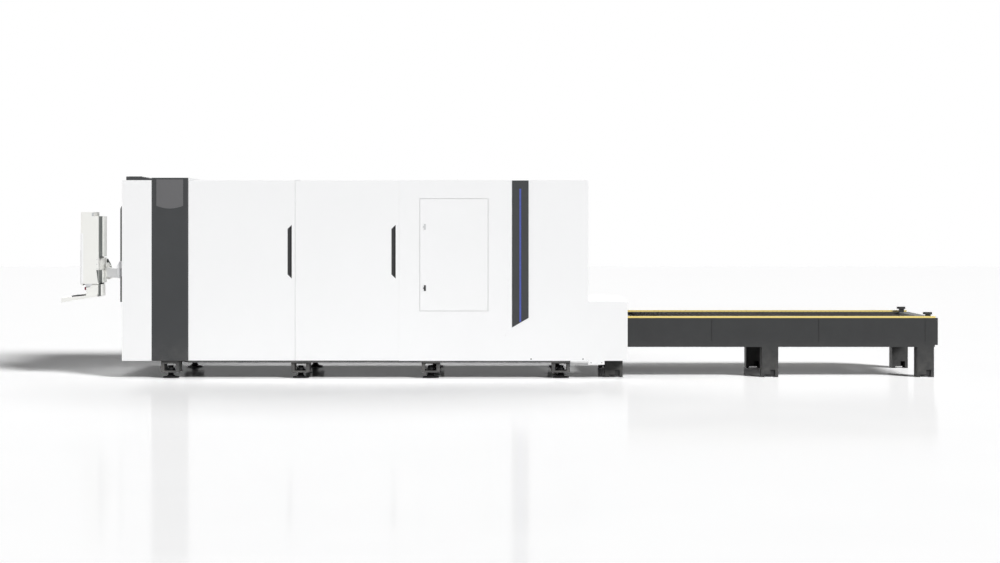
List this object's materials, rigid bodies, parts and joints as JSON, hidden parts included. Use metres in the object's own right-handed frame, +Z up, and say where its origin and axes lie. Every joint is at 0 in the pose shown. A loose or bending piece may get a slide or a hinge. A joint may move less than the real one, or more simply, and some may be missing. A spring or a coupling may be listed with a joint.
{
  "type": "fiber laser cutting machine",
  "caption": "Enclosed flatbed laser cutter with hinged side doors, an operator console on a swing arm, a moving gantry and shuttle pallets on an exchange table",
  "frame": {"origin": "on the floor under the middle of the machine's bounding box", "axes": "+X runs from the operator's console to the exchange table, the side with the control cabinet faces -Y, +Z is up"},
  "size_m": [9.851, 2.7, 2.255],
  "materials": {
    "white_paint": "satin powder coat, white",
    "dark_paint": "satin powder coat, dark grey",
    "dark_plastic": "moulded, dark grey",
    "light_plastic": "moulded, light grey",
    "mid_grey_paint": "satin powder coat, mid grey",
    "light_grey_paint": "satin paint, light grey",
    "beam_aluminium": "painted aluminium, light grey",
    "frame_paint": "matt paint, dark grey",
    "foot_steel": "plated steel",
    "slat_steel": "bare mild steel, darkened",
    "yellow_paint": "pale yellow safety strip",
    "blue_line": "blue light diffuser",
    "console_paint": "satin paint, warm white",
    "black_plastic": "moulded, black",
    "head_aluminium": "anodised, black",
    "window_glass": "tinted laser-safe pane",
    "red_plastic": "moulded, dark red"
  },
  "bodies": {
    "machine": {"bed_frame": "frame_paint", "levelling_foot_near_1": "foot_steel", "levelling_foot_near_2": "foot_steel", "levelling_foot_near_3": "foot_steel", "levelling_foot_near_4": "foot_steel", "levelling_foot_far_1": "foot_steel", "levelling_foot_far_2": "foot_steel", "levelling_foot_far_3": "foot_steel", "levelling_foot_far_4": "foot_steel", "scrap_tray_1": "slat_steel", "scrap_tray_2": "slat_steel", "scrap_tray_3": "slat_steel", "enclosure_frame": "frame_paint", "front_section": "white_paint", "front_bezel": "dark_paint", "front_band": "dark_paint", "band_inset_near": "mid_grey_paint", "band_inset_far": "mid_grey_paint", "roof_visor": "dark_paint", "roof_panel": "white_paint", "side_panel_near": "white_paint", "side_panel_far": "white_paint", "rear_wall": "white_paint", "entry_hood": "white_paint", "accent_strip_near": "dark_paint", "accent_strip_far": "dark_paint", "light_line_near": "blue_line", "light_line_far": "blue_line", "control_cabinet": "light_grey_paint", "control_gear": "black_plastic", "table_frame": "dark_paint", "edge_strip_near": "yellow_paint", "edge_strip_far": "yellow_paint", "arm_wall_bracket": "light_grey_paint"},
    "front_door": {"front_door": "mid_grey_paint", "front_window": "window_glass"},
    "side_door_front": {"side_door_front": "white_paint", "pull_cup_front": "dark_plastic"},
    "side_door_rear": {"side_door_rear": "white_paint", "pull_cup_rear": "dark_plastic"},
    "cabinet_door": {"cabinet_door": "white_paint"},
    "upper_latch": {"upper_latch": "light_plastic"},
    "lower_latch": {"lower_latch": "dark_plastic"},
    "gantry": {"gantry_beam": "beam_aluminium"},
    "carriage": {"y_carriage": "mid_grey_paint"},
    "head": {"z_slide": "beam_aluminium", "cutting_head": "head_aluminium"},
    "lift": {"lift_frame": "mid_grey_paint"},
    "outer_pallet": {"outer_pallet": "slat_steel"},
    "inner_pallet": {"inner_pallet": "slat_steel"},
    "arm_link": {"arm_link": "light_grey_paint"},
    "arm_head": {"arm_head": "console_paint"},
    "console": {"console_housing": "console_paint", "console_screen": "black_plastic", "upper_rear_cover": "mid_grey_paint", "lower_rear_cover": "mid_grey_paint", "console_lower_box": "console_paint", "keyboard_tray": "console_paint", "keyboard": "black_plastic"},
    "e_stop": {"e_stop_button": "red_plastic"}
  },
  "joints": [
    {"name": "front_door_slide", "type": "slide", "parent": "machine", "child": "front_door", "axis": [0, 1, 0], "range_m": [0, 0.89]},
    {"name": "side_door_front_hinge", "type": "hinge", "parent": "machine", "child": "side_door_front", "pos_m": [-3.4649, -1.339, 0.2], "axis": [0, 0, -1], "range_deg": [0, 95]},
    {"name": "side_door_rear_hinge", "type": "hinge", "parent": "machine", "child": "side_door_rear", "pos_m": [-2.2742, -1.339, 0.2], "axis": [0, 0, -1], "range_deg": [0, 95]},
    {"name": "cabinet_door_hinge", "type": "hinge", "parent": "machine", "child": "cabinet_door", "pos_m": [-0.1355, -1.339, 0.75], "axis": [0, 0, 1], "range_deg": [0, 110]},
    {"name": "upper_latch_turn", "type": "hinge", "parent": "cabinet_door", "child": "upper_latch", "pos_m": [-0.8325, -1.345, 1.69], "axis": [0, -1, 0], "range_deg": [0, 90]},
    {"name": "lower_latch_turn", "type": "hinge", "parent": "cabinet_door", "child": "lower_latch", "pos_m": [-0.8325, -1.345, 1.007], "axis": [0, -1, 0], "range_deg": [0, 90]},
    {"name": "arm_wall_swivel", "type": "hinge", "parent": "machine", "child": "arm_link", "pos_m": [-4.2555, -1.25, 1.174], "axis": [0, 0, 1], "range_deg": [0, 90]},
    {"name": "arm_elbow_swivel", "type": "hinge", "parent": "arm_link", "child": "arm_head", "pos_m": [-4.4055, -1, 1.174], "axis": [0, 0, 1], "range_deg": [-25, 45]},
    {"name": "console_tilt", "type": "hinge", "parent": "arm_head", "child": "console", "pos_m": [-4.4655, -0.9, 1.2725], "axis": [0, 1, 0], "range_deg": [-6, 12]},
    {"name": "e_stop_press", "type": "slide", "parent": "console", "child": "e_stop", "axis": [1, 0, 0], "range_m": [0, 0.005], "stiffness_N_per_m": 800},
    {"name": "gantry_x", "type": "slide", "parent": "machine", "child": "gantry", "axis": [1, 0, 0], "range_m": [0, 3.3]},
    {"name": "carriage_y", "type": "slide", "parent": "gantry", "child": "carriage", "axis": [0, 1, 0], "range_m": [0, 1.5]},
    {"name": "head_z", "type": "slide", "parent": "carriage", "child": "head", "axis": [0, 0, -1], "range_m": [0, 0.25]},
    {"name": "pallet_lift", "type": "slide", "parent": "machine", "child": "lift", "axis": [0, 0, -1], "range_m": [0, 0.22]},
    {"name": "outer_pallet_shuttle", "type": "slide", "parent": "lift", "child": "outer_pallet", "axis": [1, 0, 0], "range_m": [-3.7, 0]},
    {"name": "inner_pallet_shuttle", "type": "slide", "parent": "machine", "child": "inner_pallet", "axis": [-1, 0, 0], "range_m": [-3.7, 0]}
  ]
}
